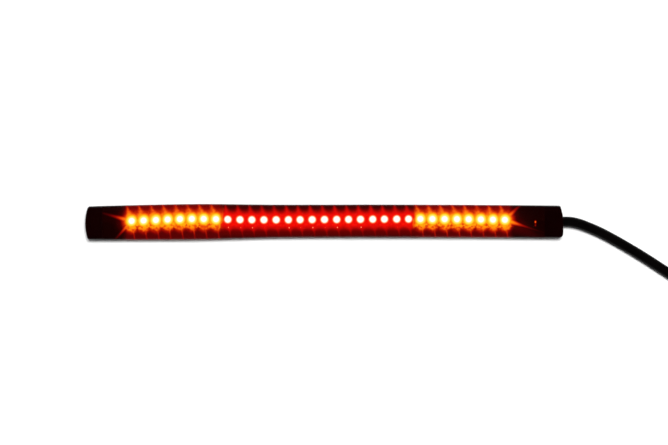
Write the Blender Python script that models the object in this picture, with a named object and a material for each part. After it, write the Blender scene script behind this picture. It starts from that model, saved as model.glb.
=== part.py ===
"""A flexible stick-on light bar for a vehicle's tail: turn signals at both ends of a stop light.

The bar lies along X on its adhesive back, with +Z out of the lens and the cable leaving at +X.
The origin is under the middle of the bar, on the back of the tape.
"""

import math
import random

import bmesh
import bpy
from mathutils import Vector

MM = 0.001
GAP = 0.3 * MM  # left between pieces that touch on the real bar

# Light sources, in one row: turn, stop and tail, turn.
LED_COUNT = 32
AMBER_PER_END = 8
LED_PITCH = 5.158 * MM
LED_LENGTH = 3.5 * MM
LED_WIDTH = 2.8 * MM
LED_HEIGHT = 1.9 * MM
LED_BASE_STEP = 0.2 * MM  # the housing narrows a little towards its top
WINDOW_DIAMETER = 2.4 * MM
WINDOW_FLOOR_DIAMETER = 1.7 * MM
WINDOW_DEPTH = 0.8 * MM
PLACEMENT_SCATTER = 0.16 * MM  # how far a package may sit from its place
LEDS_PER_RESISTOR = 4

# Other parts on the flexible board.
BOARD_WIDTH = 8.0 * MM
BOARD_THICKNESS = 0.4 * MM
BOARD_START_BEFORE_LED = 4.6 * MM
CHIP_WAIST = 0.35  # how far up a moulded chip is widest
RESISTOR = Vector((3.2, 1.6, 0.6)) * MM
RESISTOR_DRAFT = 0.08 * MM
RESISTOR_STANDOFF = 0.5 * MM  # between the row of packages and the resistors
DIODE = Vector((4.3, 2.6, 1.9)) * MM
DIODE_DRAFT = 0.25 * MM
DIODE_AFTER_LED = 5.6 * MM

# The soft channel and what closes it.
FIRST_LED_FROM_END = 20.05 * MM
LAST_LED_FROM_END = 25.05 * MM
SIDE_WALL = 1.725 * MM
LENS_ROOF = 1.4 * MM
BOARD_SIDE_ROOM = 1.3 * MM
CROWN_RADIUS = 2.0 * MM
SKIRT_LIFT = 0.3 * MM  # the channel's lower edges stay this far above the back of the tape
BASE_THICKNESS = 0.8 * MM
TAPE_THICKNESS = 0.8 * MM
LEFT_PLUG_LENGTH = 7.5 * MM
RIGHT_PLUG_LENGTH = 8.0 * MM
LEFT_SPIGOT_LENGTH = 5.0 * MM
RIGHT_SPIGOT_LENGTH = 2.0 * MM
SPIGOT_ROOT = 1.0 * MM  # how deep a spigot starts inside its plug
PLUG_EDGE_RADIUS = 0.7 * MM
LEFT_END_BULGE = 1.3 * MM
SMALL_CORNER_RADIUS = 0.6 * MM
LARGE_CORNER_RADIUS = 2.1 * MM
RIGHT_END_SLANT = 1.2 * MM

# How the soft bar lies: a very flat arc, with one wider stretch.
BOW_RADIUS = 7.6
BOW_CENTRE_X = 20 * MM
SWELL = 1.25 * MM
SWELL_X = -56 * MM
SWELL_REACH_LEFT = 45 * MM
SWELL_REACH_RIGHT = 24 * MM
ROW_OFFSET = 0.6 * MM  # the board lies off the channel's middle line
WANDER = ((0.7 * MM, -59 * MM, 18 * MM), (0.3 * MM, 50 * MM, 30 * MM))  # height, place, reach

# The cable, its cores and the loose leads at its far end.
CABLE_DIAMETER = 4.4 * MM
JACKET_DEPTH = 5.7 * MM  # how far the jacket goes into the end plug
CORE_DIAMETER = 1.05 * MM
CORE_SPACING = 0.3 * MM
FAN_BEFORE_SEAM = 0.9 * MM  # the cores start to part this far inside the right plug
FAN_AFTER_SEAM = 2.5 * MM
FAN_PART_SHARE = 0.8  # share of the fan that each of its two moves takes
CORE_ON_BOARD = 1.7 * MM
LEAD_LENGTH = 60 * MM
LEAD_PITCH = 1.6 * MM
COLOURS = ("black", "red", "blue", "yellow", "green")
CABLE_ROUTE = (
    (0.0968, 0.0000, 0.00340),
    (0.1025, 0.0001, 0.00340),
    (0.1060, 0.0000, 0.00332),
    (0.1095, -0.0008, 0.00302),
    (0.1130, -0.0021, 0.00264),
    (0.1177, -0.0041, 0.00236),
    (0.1246, -0.0077, 0.00225),
    (0.1314, -0.0116, 0.00225),
    (0.1383, -0.0158, 0.00225),
    (0.1451, -0.0202, 0.00225),
    (0.1523, -0.0249, 0.00225),
)
ROUTE_STEP = 6 * MM
COIL_MEAN_RADIUS = 22.5 * MM
COIL_TURNS_WIDE = 2
COIL_TURNS_HIGH = 3
TIE_THICKNESS = 0.6 * MM
TIE_WIDTH = 6 * MM
TIE_BEND_RADIUS = 1.0 * MM
TIE_ANGLE = math.radians(130)
LEAD_START_ANGLE = math.radians(47)

# Heights of the stack, from the back of the tape up.
BASE_Z = TAPE_THICKNESS + GAP
BASE_TOP = BASE_Z + BASE_THICKNESS
BOARD_Z = BASE_TOP + GAP
BOARD_TOP = BOARD_Z + BOARD_THICKNESS
PARTS_Z = BOARD_TOP + GAP
CEILING_Z = PARTS_Z + LED_HEIGHT + GAP
BAR_TOP = CEILING_Z + LENS_ROOF
CABLE_Z = (SKIRT_LIFT + BAR_TOP) / 2

# Lengths and widths that follow from the row of light sources.
BAR_LENGTH = FIRST_LED_FROM_END + (LED_COUNT - 1) * LED_PITCH + LAST_LED_FROM_END
LEFT_END = -BAR_LENGTH / 2
RIGHT_END = BAR_LENGTH / 2
LEFT_SEAM = LEFT_END + LEFT_PLUG_LENGTH
RIGHT_SEAM = RIGHT_END - RIGHT_PLUG_LENGTH
FIRST_LED_X = LEFT_END + FIRST_LED_FROM_END
CHANNEL_HALF = BOARD_WIDTH / 2 + BOARD_SIDE_ROOM
BAR_HALF = CHANNEL_HALF + SIDE_WALL
BOARD_START = FIRST_LED_X - BOARD_START_BEFORE_LED
BOARD_END = RIGHT_SEAM - RIGHT_SPIGOT_LENGTH - GAP
CORE_PITCH = CORE_DIAMETER + CORE_SPACING
CORE_RING_RADIUS = CORE_PITCH / (2 * math.sin(math.pi / len(COLOURS)))
CORE_ROW_HALF = CORE_PITCH * (len(COLOURS) - 1) / 2 + CORE_DIAMETER / 2
COIL_HALF_WIDTH = COIL_TURNS_WIDE * CABLE_DIAMETER / 2
COIL_HEIGHT = COIL_TURNS_HIGH * CABLE_DIAMETER

# How finely the round shapes are divided.
LONG_STEP = 6.5 * MM
CROWN_STEPS = 4
EDGE_STEPS = 3
PLUG_TOP_STEPS = 6
BORE_SIDES = 20
LED_STEPS_PER_SIDE = 3
FAN_STEPS = 6
COIL_SIDES = 40
LEAD_STEPS = 15
STRAP_BEND_STEPS = 3
CURVE_SAMPLES = 16
SHARP_ANGLE = math.radians(35)


def steps(start, end, count):
    """count + 1 evenly spaced numbers from start to end."""
    return [start + (end - start) * i / count for i in range(count + 1)]


def stations(start, end):
    """Places along the bar, close enough for its bend to look smooth."""
    return steps(start, end, max(2, round((end - start) / LONG_STEP)))


def ease(share):
    """0 to 1 with a smooth start and end."""
    return share * share * (3 - 2 * share)


def hump(x, place, reach):
    return math.exp(-(((x - place) / reach) ** 2))


def bow(x):
    """How far the bar's middle line lies to the side at x."""
    return -((x - BOW_CENTRE_X) ** 2) / (2 * BOW_RADIUS)


def swell(x):
    """How much wider than usual the soft channel is at x, as a factor."""
    reach = SWELL_REACH_LEFT if x < SWELL_X else SWELL_REACH_RIGHT
    return 1 + SWELL / (2 * BAR_HALF) * hump(x, SWELL_X, reach)


def row_y(x):
    """Where the middle of the board and of the row of light sources runs, from the middle line."""
    return ROW_OFFSET + sum(height * hump(x, place, reach) for height, place, reach in WANDER)


def left_end_x(y):
    """The left plug's end, a shallow arc with small corners."""
    arc_radius = (BAR_HALF**2 + LEFT_END_BULGE**2) / (2 * LEFT_END_BULGE)
    arc = arc_radius - math.sqrt(arc_radius**2 - y**2)
    return LEFT_END + arc + corner(abs(y), SMALL_CORNER_RADIUS)


def right_end_x(y):
    """The right plug's end, slanted above the cable and with a larger corner below it."""
    slant_start = CABLE_DIAMETER / 2
    slant = RIGHT_END_SLANT * max(0, (y - slant_start) / (BAR_HALF - slant_start))
    radius = SMALL_CORNER_RADIUS if y > 0 else LARGE_CORNER_RADIUS
    return RIGHT_END - slant - corner(abs(y), radius)


def corner(distance, radius):
    """How far a rounded corner draws back at this distance from the middle line."""
    inside = distance - (BAR_HALF - radius)
    if inside <= 0:
        return 0
    return radius - math.sqrt(max(0, radius**2 - inside**2))


SEEN_FROM_ABOVE = [*stations(LEFT_SEAM, RIGHT_SEAM), left_end_x(BAR_HALF), right_end_x(-BAR_HALF)]
UPPER_EDGE = max(bow(x) + BAR_HALF * swell(x) for x in SEEN_FROM_ABOVE)
LOWER_EDGE = min(bow(x) - BAR_HALF * swell(x) for x in SEEN_FROM_ABOVE)
SIDE_SHIFT = -(UPPER_EDGE + LOWER_EDGE) / 2  # puts the bar's box on the origin


def laid(x, y, z, soft=False):
    """The place in the bar as it lies of a point given on a straight bar."""
    width = swell(x) if soft else 1
    return Vector((x, y * width + bow(x) + SIDE_SHIFT, z))


def material(name, colour, roughness, metallic=0.0, alpha=1.0):
    made = bpy.data.materials.new(name)
    made.use_nodes = True
    shader = made.node_tree.nodes["Principled BSDF"]
    shader.inputs["Base Color"].default_value = (*colour, 1)
    shader.inputs["Roughness"].default_value = roughness
    shader.inputs["Metallic"].default_value = metallic
    shader.inputs["Alpha"].default_value = alpha
    made.diffuse_color = (*colour, alpha)
    return made


def place(name, data, finish):
    data.materials.append(finish)
    made = bpy.data.objects.new(name, data)
    bpy.context.scene.collection.objects.link(made)
    return made


def loft_mesh(name, rings, joined=False):
    """One closed skin from ring to ring. The first and last rings are filled, or joined to each other."""
    bm = bmesh.new()
    loops = [[bm.verts.new(point) for point in ring] for ring in rings]
    pairs = list(zip(loops, loops[1:]))
    if joined:
        pairs.append((loops[-1], loops[0]))
    else:
        bm.faces.new(loops[0])
        bm.faces.new(loops[-1])
    for near, far in pairs:
        for i, j in zip(range(len(near)), [*range(1, len(near)), 0]):
            bm.faces.new((near[i], near[j], far[j], far[i]))
    bmesh.ops.recalc_face_normals(bm, faces=bm.faces)
    mesh = bpy.data.meshes.new(name)
    bm.to_mesh(mesh)
    bm.free()
    mesh.shade_smooth()
    mesh.set_sharp_from_angle(angle=SHARP_ANGLE)
    return mesh


def loft(name, rings, finish, joined=False):
    return place(name, loft_mesh(name, rings, joined), finish)


def rectangle(half_x, half_y, z, per_side=1):
    """A ring of points round a rectangle, from its lower left corner."""
    corners = [(-half_x, -half_y), (half_x, -half_y), (half_x, half_y), (-half_x, half_y)]
    ring = []
    for start, end in zip(corners, corners[1:] + corners[:1]):
        for i in range(per_side):
            share = i / per_side
            x = start[0] + (end[0] - start[0]) * share
            y = start[1] + (end[1] - start[1]) * share
            ring.append(Vector((x, y, z)))
    return ring


def circle(radius, z, count):
    """A ring of points that starts where rectangle's does."""
    angles = [math.radians(225) + 2 * math.pi * i / count for i in range(count)]
    return [Vector((radius * math.cos(a), radius * math.sin(a), z)) for a in angles]


def helper(obj):
    obj.hide_render = True
    obj.display_type = "WIRE"


def combine(target, tool, operation):
    modifier = target.modifiers.new(operation.title(), "BOOLEAN")
    modifier.operation = operation
    modifier.solver = "EXACT"
    modifier.object = tool
    helper(tool)


def crown():
    """The top of the bar's outline from the -Y side to the +Y side, as (y, z)."""
    flat_half = BAR_HALF - CROWN_RADIUS
    turns = [math.pi / 2 * i / CROWN_STEPS for i in range(CROWN_STEPS + 1)]
    rise = [(flat_half + CROWN_RADIUS * math.cos(a), BAR_TOP - CROWN_RADIUS * (1 - math.sin(a))) for a in turns]
    return [(-y, z) for y, z in rise] + rise[::-1]


def tinted_lens():
    """The clear-smoked channel: a roof over the lights and two sides that reach down past the tape."""
    inner = [(CHANNEL_HALF, SKIRT_LIFT), (CHANNEL_HALF, CEILING_Z)]
    section = [(-BAR_HALF, SKIRT_LIFT), *crown(), (BAR_HALF, SKIRT_LIFT)]
    section += [*inner, *[(-y, z) for y, z in inner[::-1]]]
    rings = [[laid(x, y, z, soft=True) for y, z in section] for x in stations(LEFT_SEAM, RIGHT_SEAM)]
    loft("tinted_lens", rings, material("smoked_silicone", (0.05, 0.004, 0.004), 0.25, alpha=0.6))


def bar_of(name, start, end, half_width, bottom, top, middle, finish):
    """A flat strip that follows the bar, with its own middle line."""
    rings = []
    for x in stations(start, end):
        corners = ((-half_width, bottom), (half_width, bottom), (half_width, top), (-half_width, top))
        rings.append([laid(x, middle(x) + y, z) for y, z in corners])
    loft(name, rings, finish)


def backing():
    """The adhesive tape and the base strip, which close the channel from below."""
    half_width = CHANNEL_HALF - GAP
    start = LEFT_SEAM + GAP
    tape = material("tape_foam", (0.03, 0.03, 0.032), 0.9)
    rubber = material("base_rubber", (0.012, 0.012, 0.013), 0.7)
    bar_of("adhesive_tape", start, RIGHT_SEAM - GAP, half_width, 0, TAPE_THICKNESS, lambda x: 0, tape)
    bar_of("base_strip", start, BOARD_END, half_width, BASE_Z, BASE_TOP, lambda x: 0, rubber)


def plug_slices(seam, end_x):
    """Upright slices of a plug, one behind the other across the bar, each with a rounded end."""
    edge = crown()
    flat = steps(edge[CROWN_STEPS][0], edge[CROWN_STEPS + 1][0], PLUG_TOP_STEPS)[1:-1]
    outline = edge[: CROWN_STEPS + 1] + [(y, BAR_TOP) for y in flat] + edge[CROWN_STEPS + 1 :]
    slices = []
    for y, top in outline:
        end = end_x(y)
        inward = math.copysign(PLUG_EDGE_RADIUS, seam - end)
        points = [(seam, SKIRT_LIFT), (end, SKIRT_LIFT)]
        for turn in steps(0, math.pi / 2, EDGE_STEPS):
            sink = PLUG_EDGE_RADIUS * (1 - math.sin(turn))
            points.append((end + inward * (1 - math.cos(turn)), top - sink))
        points.append((seam, top))
        slices.append([laid(x, y, z, soft=True) for x, z in points])
    return slices


def spigot(name, start, end, low_y, high_y):
    """A block under the lens's roof that holds a plug in the channel."""
    bottom = BASE_TOP + GAP
    top = CEILING_Z - GAP
    corners = ((low_y, bottom), (high_y, bottom), (high_y, top), (low_y, top))
    rings = [[laid(x, y, z, soft=True) for y, z in corners] for x in (start, end)]
    return place(name, loft_mesh(name, rings), bpy.data.materials["end_rubber"])


def end_plugs():
    """The moulded ends. The right one is bored for the cable and leaves room for the cores."""
    rubber = material("end_rubber", (0.012, 0.004, 0.005), 0.4)
    inside = CHANNEL_HALF - GAP
    left = loft("left_end_plug", plug_slices(LEFT_SEAM, left_end_x), rubber)
    block = spigot("left_spigot", LEFT_SEAM - SPIGOT_ROOT, LEFT_SEAM + LEFT_SPIGOT_LENGTH, -inside, inside)
    combine(left, block, "UNION")

    right = loft("right_end_plug", plug_slices(RIGHT_SEAM, right_end_x), rubber)
    middle = exit_y() - laid(BOARD_END, 0, 0).y
    cheeks = ((-inside, middle - CORE_ROW_HALF - GAP), (middle + CORE_ROW_HALF + GAP, inside))
    for side, (low, high) in zip(("lower", "upper"), cheeks):
        start = RIGHT_SEAM - RIGHT_SPIGOT_LENGTH
        combine(right, spigot(f"{side}_cheek", start, RIGHT_SEAM + SPIGOT_ROOT, low, high), "UNION")
    bore_radius = CABLE_DIAMETER / 2 + GAP
    past = 2 * MM
    bore = []
    for x in (RIGHT_SEAM - past, RIGHT_END + past):
        bore.append([Vector((x, exit_y() + p.y, CABLE_Z + p.x)) for p in circle(bore_radius, 0, BORE_SIDES)])
    combine(right, place("cable_bore", loft_mesh("cable_bore", bore), rubber), "DIFFERENCE")


def exit_y():
    """The cable's place across the bar where it enters the right plug."""
    return CABLE_ROUTE[0][1]


def flex_board():
    finish = material("board_mask", (0.75, 0.74, 0.70), 0.5)
    bar_of("flex_board", BOARD_START, BOARD_END, BOARD_WIDTH / 2, BOARD_Z, BOARD_TOP, row_y, finish)


def led_mesh():
    """A surface-mount package: a tapering white housing with a round cup for the die and its window."""
    per_side = LED_STEPS_PER_SIDE
    half_x = LED_LENGTH / 2
    half_y = LED_WIDTH / 2
    slim = LED_BASE_STEP / 2
    rings = [
        rectangle(half_x, half_y, 0, per_side),
        rectangle(half_x - slim, half_y - slim, LED_HEIGHT, per_side),
        circle(WINDOW_DIAMETER / 2, LED_HEIGHT, 4 * per_side),
        circle(WINDOW_FLOOR_DIAMETER / 2, LED_HEIGHT - WINDOW_DEPTH, 4 * per_side),
    ]
    return loft_mesh("led_package", rings)


def led_name(index):
    last_red = LED_COUNT - AMBER_PER_END
    if index < AMBER_PER_END:
        return f"led_amber_left_{index + 1}"
    if index < last_red:
        return f"led_red_{index - AMBER_PER_END + 1}"
    return f"led_amber_right_{index - last_red + 1}"


def light_sources():
    scatter = random.Random(7)
    mesh = {
        "amber": led_mesh(),
        "red": led_mesh(),
    }
    mesh["amber"].materials.append(material("amber_package", (1.0, 0.55, 0.05), 0.4))
    mesh["red"].materials.append(material("red_package", (1.0, 0.06, 0.02), 0.4))
    for index in range(LED_COUNT):
        name = led_name(index)
        x = FIRST_LED_X + index * LED_PITCH
        made = bpy.data.objects.new(name, mesh["red" if "red" in name else "amber"])
        made.location = laid(x + PLACEMENT_SCATTER * scatter.uniform(-1, 1), row_y(x), PARTS_Z)
        bpy.context.scene.collection.objects.link(made)


def chip_mesh(name, size, draft):
    """A small moulded block whose upper half leans in by draft."""
    half = size / 2
    rings = [
        rectangle(half.x - draft / 2, half.y - draft / 2, 0),
        rectangle(half.x, half.y, size.z * CHIP_WAIST),
        rectangle(half.x - draft, half.y - draft, size.z),
    ]
    return loft_mesh(name, rings)


def small_parts():
    """One resistor for each string of light sources, and the diode that guards them all."""
    mesh = chip_mesh("resistor", RESISTOR, RESISTOR_DRAFT)
    mesh.materials.append(material("resistor_body", (0.02, 0.02, 0.022), 0.35))
    off_row = LED_WIDTH / 2 + RESISTOR_STANDOFF + RESISTOR.y / 2
    for string in range(LED_COUNT // LEDS_PER_RESISTOR):
        x = FIRST_LED_X + (LEDS_PER_RESISTOR * (string + 0.5) - 0.5) * LED_PITCH
        made = bpy.data.objects.new(f"resistor_{string + 1}", mesh)
        made.location = laid(x, row_y(x) - off_row, PARTS_Z)
        bpy.context.scene.collection.objects.link(made)
    body = material("diode_body", (0.02, 0.02, 0.02), 0.4)
    diode = place("polarity_diode", chip_mesh("polarity_diode", DIODE, DIODE_DRAFT), body)
    x = FIRST_LED_X + (LED_COUNT - 1) * LED_PITCH + DIODE_AFTER_LED
    diode.location = laid(x, row_y(x), PARTS_Z)


def smooth_line(points, spacing):
    """Evenly spaced points on one smooth curve through the given ones."""
    points = [Vector(p) for p in points]
    before = 2 * points[0] - points[1]
    after = 2 * points[-1] - points[-2]
    padded = [before, *points, after]
    fine = []
    for a, b, c, d in zip(padded, padded[1:], padded[2:], padded[3:]):
        for t in steps(0, 1, CURVE_SAMPLES)[:-1]:
            bend = (2 * a - 5 * b + 4 * c - d) * t**2 + (3 * b - a - 3 * c + d) * t**3
            fine.append((2 * b + (c - a) * t + bend) / 2)
    fine.append(points[-1])
    length = sum((q - p).length for p, q in zip(fine, fine[1:]))
    count = max(2, round(length / spacing))
    line = [fine[0]]
    walked = 0
    for p, q in zip(fine, fine[1:]):
        walked += (q - p).length
        if walked >= length * len(line) / count and len(line) < count:
            line.append(q)
    return [*line, fine[-1]]


def tube(name, points, diameter, finish):
    """A round wire or cable along the points, with its ends closed."""
    curve = bpy.data.curves.new(name, "CURVE")
    curve.dimensions = "3D"
    curve.bevel_depth = diameter / 2
    curve.bevel_resolution = 2
    curve.use_fill_caps = True
    spline = curve.splines.new("POLY")
    spline.points.add(len(points) - 1)
    for target, point in zip(spline.points, points):
        target.co = (*point, 1)
    place(name, curve, finish)


WIRE_COLOURS = {
    "black": (0.012, 0.012, 0.012),
    "red": (0.55, 0.02, 0.02),
    "blue": (0.02, 0.06, 0.45),
    "yellow": (0.75, 0.55, 0.03),
    "green": (0.02, 0.3, 0.05),
}


def cores():
    """The insulated cores, from a ring at the end of the jacket to a row of solder pads on the board."""
    start_x = RIGHT_END - JACKET_DEPTH - GAP
    fan_start = RIGHT_SEAM + FAN_BEFORE_SEAM
    fan_end = RIGHT_SEAM - FAN_AFTER_SEAM
    end_x = BOARD_END - CORE_ON_BOARD
    row_z = BOARD_TOP + GAP + CORE_DIAMETER / 2
    around = [-math.pi / 2 + 2 * math.pi * i / len(COLOURS) for i in range(len(COLOURS))]
    around.sort(key=math.cos)
    for place_in_row, (colour, angle) in enumerate(zip(COLOURS, around)):
        from_y = exit_y() + CORE_RING_RADIUS * math.cos(angle)
        from_z = CABLE_Z + CORE_RING_RADIUS * math.sin(angle)
        to_y = exit_y() + (place_in_row - (len(COLOURS) - 1) / 2) * CORE_PITCH
        points = [Vector((start_x, from_y, from_z))]
        for share in steps(0, 1, FAN_STEPS):
            # The cores part sideways first and come level after.
            spread = ease(min(1, share / FAN_PART_SHARE))
            level = ease(max(0, 1 - (1 - share) / FAN_PART_SHARE))
            x = fan_start + (fan_end - fan_start) * share
            points.append(Vector((x, from_y + (to_y - from_y) * spread, from_z + (row_z - from_z) * level)))
        points.append(Vector((end_x, to_y, row_z)))
        tube(f"core_{colour}", points, CORE_DIAMETER, material(f"core_{colour}", WIRE_COLOURS[colour], 0.45))


def coil_centre():
    """Where the coil lies so that the cable runs on into its outer turn, just clear of the other turns."""
    before, end = (Vector(point[:2]) for point in CABLE_ROUTE[-2:])
    onward = (end - before).normalized()
    aside = Vector((-onward.y, onward.x))
    outer_turn = COIL_MEAN_RADIUS + COIL_HALF_WIDTH - CABLE_DIAMETER / 2
    rim = COIL_MEAN_RADIUS + COIL_HALF_WIDTH + GAP
    run = math.sqrt(rim**2 - (outer_turn - CABLE_DIAMETER / 2) ** 2)
    return (end + onward * run + aside * outer_turn).to_3d()


COIL_CENTRE = coil_centre()


def cable():
    """The free stretch of the cable and the coil that takes up the rest of it."""
    jacket = material("cable_jacket", (0.013, 0.013, 0.013), 0.45)
    tube("cable", smooth_line(CABLE_ROUTE, ROUTE_STEP), CABLE_DIAMETER, jacket)
    half = COIL_HALF_WIDTH
    bottom = TIE_THICKNESS + GAP
    top = bottom + COIL_HEIGHT
    soft = CABLE_DIAMETER / 4
    outer = [(half - soft, bottom), (half, bottom + soft), (half, top - soft), (half - soft, top)]
    section = outer + [(-r, z) for r, z in outer[::-1]]
    rings = []
    for turn in steps(0, 2 * math.pi, COIL_SIDES)[:-1]:
        out = Vector((math.cos(turn), math.sin(turn), 0))
        rings.append([COIL_CENTRE + out * (COIL_MEAN_RADIUS + r) + Vector((0, 0, z)) for r, z in section])
    loft("cable_coil", rings, jacket, joined=True)


def leads():
    """The loose ends of the cores, laid along the top of the coil under its tie."""
    z = TIE_THICKNESS + GAP + COIL_HEIGHT + GAP + CORE_DIAMETER / 2
    for index, colour in enumerate(COLOURS):
        radius = COIL_MEAN_RADIUS + (index - (len(COLOURS) - 1) / 2) * LEAD_PITCH
        points = []
        for turn in steps(LEAD_START_ANGLE, LEAD_START_ANGLE + LEAD_LENGTH / radius, LEAD_STEPS):
            points.append(COIL_CENTRE + Vector((radius * math.cos(turn), radius * math.sin(turn), z)))
        tube(f"lead_{colour}", points, CORE_DIAMETER, material(f"lead_{colour}", WIRE_COLOURS[colour], 0.45))


def coil_tie():
    """A flat strap round one side of the coil and the leads that lie on it."""
    out = Vector((math.cos(TIE_ANGLE), math.sin(TIE_ANGLE), 0))
    along = Vector((-math.sin(TIE_ANGLE), math.cos(TIE_ANGLE), 0))
    middle = COIL_CENTRE + out * COIL_MEAN_RADIUS
    half = COIL_HALF_WIDTH + GAP
    low = TIE_THICKNESS
    high = TIE_THICKNESS + GAP + COIL_HEIGHT + GAP + CORE_DIAMETER + GAP
    bend = TIE_BEND_RADIUS
    corners = ((half, low, -90), (half, high, 0), (-half, high, 90), (-half, low, 180))
    rings = []
    for y, z, first in corners:
        centre = Vector((y - math.copysign(bend, y), z + (bend if z == low else -bend)))
        for turn in steps(math.radians(first), math.radians(first + 90), STRAP_BEND_STEPS):
            ray = Vector((math.cos(turn), math.sin(turn)))
            ring = []
            for reach, side in ((bend, -1), (bend, 1), (bend + TIE_THICKNESS, 1), (bend + TIE_THICKNESS, -1)):
                spot = centre + ray * reach
                ring.append(middle + out * spot.x + along * side * TIE_WIDTH / 2 + Vector((0, 0, spot.y)))
            rings.append(ring)
    loft("coil_tie", rings, material("tie_fabric", (0.02, 0.02, 0.02), 0.9), joined=True)


def main():
    for obj in list(bpy.data.objects):
        bpy.data.objects.remove(obj)
    tinted_lens()
    backing()
    end_plugs()
    flex_board()
    light_sources()
    small_parts()
    cores()
    cable()
    leads()
    coil_tie()


main()
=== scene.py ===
# %% [markdown]
# # A flexible stick-on light bar, lit
# The bar is a soft smoked channel with a row of small light sources inside: amber at both ends and
# red between them. A black cable leaves its right end and lies wound in a coil beside it.
# The solids were designed first, with their real sizes. They are loaded here as a fixed frame. This
# script keeps every piece in its place and gives it its fine shape and its finish.

# %% Load the solid model
import math

import bmesh
import bpy
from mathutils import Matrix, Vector


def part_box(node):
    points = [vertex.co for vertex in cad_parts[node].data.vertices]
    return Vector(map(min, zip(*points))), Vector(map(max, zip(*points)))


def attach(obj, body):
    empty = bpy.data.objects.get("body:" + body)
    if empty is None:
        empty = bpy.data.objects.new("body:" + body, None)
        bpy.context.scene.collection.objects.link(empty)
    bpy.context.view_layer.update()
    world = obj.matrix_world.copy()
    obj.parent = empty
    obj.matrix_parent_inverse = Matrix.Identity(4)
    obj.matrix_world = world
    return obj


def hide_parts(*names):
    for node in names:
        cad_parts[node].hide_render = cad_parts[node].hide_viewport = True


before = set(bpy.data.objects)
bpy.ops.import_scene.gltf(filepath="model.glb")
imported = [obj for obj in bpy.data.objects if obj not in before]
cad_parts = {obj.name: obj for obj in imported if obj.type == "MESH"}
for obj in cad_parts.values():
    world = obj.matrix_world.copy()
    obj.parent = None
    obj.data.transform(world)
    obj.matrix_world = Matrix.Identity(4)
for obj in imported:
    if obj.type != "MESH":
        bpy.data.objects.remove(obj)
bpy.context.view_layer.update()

MM = 0.001
LIGHT_NAMES = (
    [f"led_amber_left_{i}" for i in range(1, 9)]
    + [f"led_red_{i}" for i in range(1, 17)]
    + [f"led_amber_right_{i}" for i in range(1, 9)]
)
COLOURS = ("black", "red", "blue", "yellow", "green")
print("pieces in the frame:", len(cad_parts))


# %% [markdown]
# The bar isn't straight: it bows a little and is wider in one place. The fine pieces have to follow
# that, so the lie is read from the solids. One way is to repeat the formula of the bend, which goes
# wrong as soon as one copy changes. Reading each solid's own cross-sections is safer.

# %% Read how the bar lies
def sections(node):
    """x -> (lowest y, highest y) of a long solid, at each place where it has points."""
    found = {}
    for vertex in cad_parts[node].data.vertices:
        x = round(vertex.co.x, 5)
        low, high = found.get(x, (1, -1))
        found[x] = (min(low, vertex.co.y), max(high, vertex.co.y))
    return sorted((x, low, high) for x, (low, high) in found.items())


def read_along(line, x):
    """The (low y, high y) of evenly spaced sections at any x, on a smooth curve through them."""
    start, end = line[0][0], line[-1][0]
    place = (x - start) / (end - start) * (len(line) - 1)
    step = min(max(int(place), 0), len(line) - 2)
    t = place - step
    around = [line[min(max(step + i, 0), len(line) - 1)] for i in (-1, 0, 1, 2)]
    values = []
    for side in (1, 2):
        a, b, c, d = (section[side] for section in around)
        bend = (2 * a - 5 * b + 4 * c - d) * t * t + (3 * b - a - 3 * c + d) * t**3
        values.append((2 * b + (c - a) * t + bend) / 2)
    return values


LENS_LINE = sections("tinted_lens")
BOARD_LINE = sections("flex_board")
LENS_LOW, LENS_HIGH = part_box("tinted_lens")
BOARD_LOW, BOARD_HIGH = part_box("flex_board")


def lens_middle(x):
    return sum(read_along(LENS_LINE, x)) / 2


def lens_half(x):
    low, high = read_along(LENS_LINE, x)
    return (high - low) / 2


def row_line(x):
    """The y of the row of light sources at x."""
    return sum(read_along(BOARD_LINE, x)) / 2


def middle_of(node):
    low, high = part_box(node)
    return (low + high) / 2


LIGHTS = [middle_of(name) for name in LIGHT_NAMES]
PITCH = (LIGHTS[-1].x - LIGHTS[0].x) / (len(LIGHTS) - 1)
print(f"bar {1000 * (LENS_HIGH.x - LENS_LOW.x):.1f} mm between its ends, lights every {1000 * PITCH:.2f} mm")

# %% [markdown]
# The camera looks straight down from well above. A long lens keeps the sides of such a flat thing
# out of sight, where a wide one would show them near the ends. The distance follows from the lens
# and from the width that the frame takes in at the height of the bar's top.

# %% The camera above the bar
FRAME_WIDTH = 286.2 * MM
LENS_LENGTH = 220
SENSOR = 36

eye = bpy.data.cameras.new("eye")
eye.lens = LENS_LENGTH
eye.sensor_width = SENSOR
camera = bpy.data.objects.new("eye", eye)
bpy.context.scene.collection.objects.link(camera)
camera.location = (4.2 * MM, -0.2 * MM, LENS_HIGH.z + FRAME_WIDTH * LENS_LENGTH / SENSOR)
bpy.context.scene.camera = camera
bpy.context.scene.view_settings.view_transform = "Standard"
print(f"camera {camera.location.z:.3f} m above the floor")

# %% [markdown]
# Many finishes here come from arithmetic on a point's own place, such as how far it is from a light.
# Math nodes do that, but a long chain of them is hard to read when it is wired by hand. A small
# class lets ordinary Python arithmetic build the nodes.

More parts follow.
